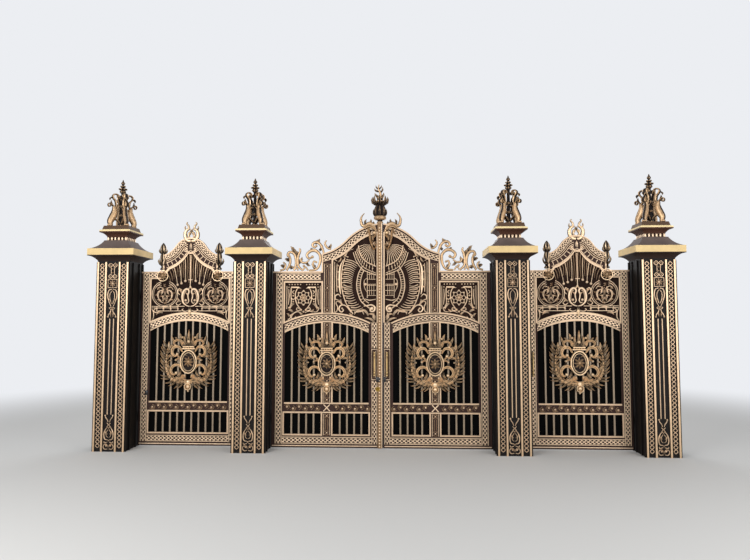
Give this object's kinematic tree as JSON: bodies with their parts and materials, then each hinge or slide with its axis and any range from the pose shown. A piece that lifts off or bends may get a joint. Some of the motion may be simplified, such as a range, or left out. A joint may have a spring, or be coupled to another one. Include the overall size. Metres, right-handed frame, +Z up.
{
  "type": "ornamental cast aluminium gateway",
  "caption": "Ornamental cast aluminium driveway gateway: square capped posts with finials, double leaf gate under an ogee top and single side gates, all on vertical hinges.",
  "frame": {"origin": "centre of the foot of the inner left post, as seen from outside", "axes": "+X to the right along the gateway, +Y inwards, away from the viewer, +Z up"},
  "size_m": [9.138, 0.738, 4.311],
  "materials": {
    "backing_sheet": "smooth black sheet, satin",
    "bronze_casting": "dark bronze powder coat with rubbed gold on raised ribs",
    "gold_cap": "champagne gold, satin",
    "copper_gold": "copper gold, polished",
    "pale_gold": "pale silvery gold, satin",
    "hinge_steel": "dark bronze paint on steel",
    "bronze_frame": "champagne gold over dark bronze, satin",
    "champagne_gold": "champagne gold rubbed on raised carving"
  },
  "bodies": {
    "posts": {"inner_left_post_cap": "gold_cap", "inner_left_post_finial": "champagne_gold", "inner_left_post_shaft": "bronze_casting", "inner_right_post_cap": "gold_cap", "inner_right_post_finial": "champagne_gold", "inner_right_post_shaft": "bronze_casting", "main_left_hinge_posts": "hinge_steel", "main_right_hinge_posts": "hinge_steel", "outer_left_post_cap": "gold_cap", "outer_left_post_finial": "champagne_gold", "outer_left_post_shaft": "bronze_casting", "outer_right_post_cap": "gold_cap", "outer_right_post_finial": "champagne_gold", "outer_right_post_shaft": "bronze_casting", "side_left_hinge_posts": "hinge_steel", "side_right_hinge_posts": "hinge_steel"},
    "main_left_leaf": {"main_left_bars": "pale_gold", "main_left_cover_strip": "champagne_gold", "main_left_cresting": "champagne_gold", "main_left_crown_finial": "champagne_gold", "main_left_emblem": "champagne_gold", "main_left_frame": "bronze_frame", "main_left_grilles": "champagne_gold", "main_left_hinge_straps": "hinge_steel", "main_left_lockset": "copper_gold", "main_left_sheet": "backing_sheet"},
    "main_right_leaf": {"main_right_bars": "pale_gold", "main_right_cresting": "champagne_gold", "main_right_emblem": "champagne_gold", "main_right_frame": "bronze_frame", "main_right_grilles": "champagne_gold", "main_right_hinge_straps": "hinge_steel", "main_right_lockset": "copper_gold", "main_right_sheet": "backing_sheet"},
    "side_left_leaf": {"side_left_bars": "pale_gold", "side_left_crest": "champagne_gold", "side_left_emblem": "champagne_gold", "side_left_frame": "bronze_frame", "side_left_grille": "champagne_gold", "side_left_hinge_straps": "hinge_steel", "side_left_pull": "copper_gold", "side_left_sheet": "backing_sheet"},
    "side_right_leaf": {"side_right_bars": "pale_gold", "side_right_crest": "champagne_gold", "side_right_emblem": "champagne_gold", "side_right_frame": "bronze_frame", "side_right_grille": "champagne_gold", "side_right_hinge_straps": "hinge_steel", "side_right_pull": "copper_gold", "side_right_sheet": "backing_sheet"}
  },
  "joints": [
    {"name": "main_left_hinge", "type": "hinge", "parent": "posts", "child": "main_left_leaf", "pos_m": [0.308, 0.192, 1.44], "axis": [0, 0, 1], "range_deg": [0, 90]},
    {"name": "main_right_hinge", "type": "hinge", "parent": "posts", "child": "main_right_leaf", "pos_m": [3.732, 0.192, 1.44], "axis": [0, 0, -1], "range_deg": [0, 90]},
    {"name": "side_left_hinge", "type": "hinge", "parent": "posts", "child": "side_left_leaf", "pos_m": [-1.872, 0.252, 1.44], "axis": [0, 0, 1], "range_deg": [0, 90]},
    {"name": "side_right_hinge", "type": "hinge", "parent": "posts", "child": "side_right_leaf", "pos_m": [5.912, 0.252, 1.44], "axis": [0, 0, -1], "range_deg": [0, 90]}
  ]
}
